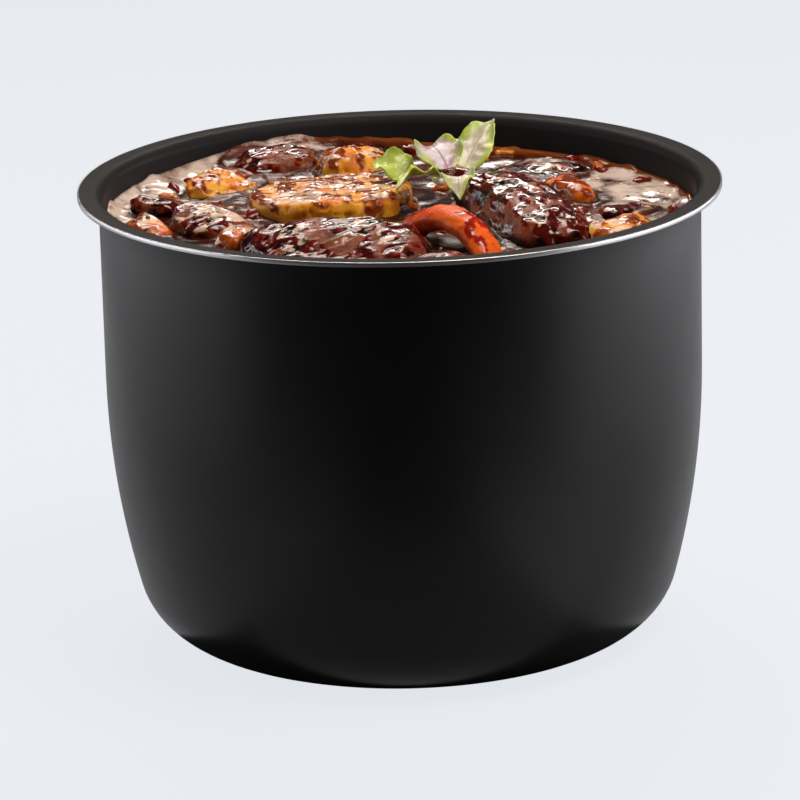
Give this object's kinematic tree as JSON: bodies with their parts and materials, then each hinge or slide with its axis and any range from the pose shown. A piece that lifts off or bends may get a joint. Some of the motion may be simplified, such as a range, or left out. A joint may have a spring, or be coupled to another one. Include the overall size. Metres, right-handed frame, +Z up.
{
  "type": "slow cooker pot",
  "caption": "Round drawn cooking pot with an outward flange, the removable inner pot of a slow cooker, full of beef stew with potato, carrot, pepper and basil that lift out.",
  "frame": {"origin": "centre of the pot's flat base, on the surface that it stands on", "axes": "+Z up out of the pot's mouth, -Y towards the front of the picture's view, +X to its right"},
  "size_m": [0.24, 0.24, 0.186],
  "materials": {
    "coating": "satin",
    "gravy": "gloss",
    "beef": "gloss",
    "potato": "gloss",
    "carrot": "gloss",
    "pepper": "gloss",
    "leaf": "satin",
    "stem": "satin"
  },
  "bodies": {
    "pot": {"pot": "coating"},
    "stew": {"gravy": "gravy", "beef_front": "beef", "beef_right": "beef", "beef_left": "beef", "beef_back": "beef", "beef_under": "beef", "beef_far_left": "beef", "beef_far_right": "beef", "beef_back_right": "beef", "potato_slice": "potato", "potato_back": "potato", "potato_left": "potato", "potato_right": "potato", "carrot_left": "carrot", "carrot_front": "carrot", "carrot_right": "carrot", "pepper": "pepper"},
    "sprig": {"leaf_tall": "leaf", "leaf_pale": "leaf", "leaf_green": "leaf", "leaf_low": "leaf", "leaf_hanging": "leaf", "stem": "stem"}
  },
  "joints": [
    {"name": "stew_lift", "type": "slide", "parent": "pot", "child": "stew", "axis": [0, 0, 1], "range_m": [0, 0.19]},
    {"name": "sprig_lift", "type": "slide", "parent": "stew", "child": "sprig", "axis": [0, 0, 1], "range_m": [0, 0.06]}
  ]
}
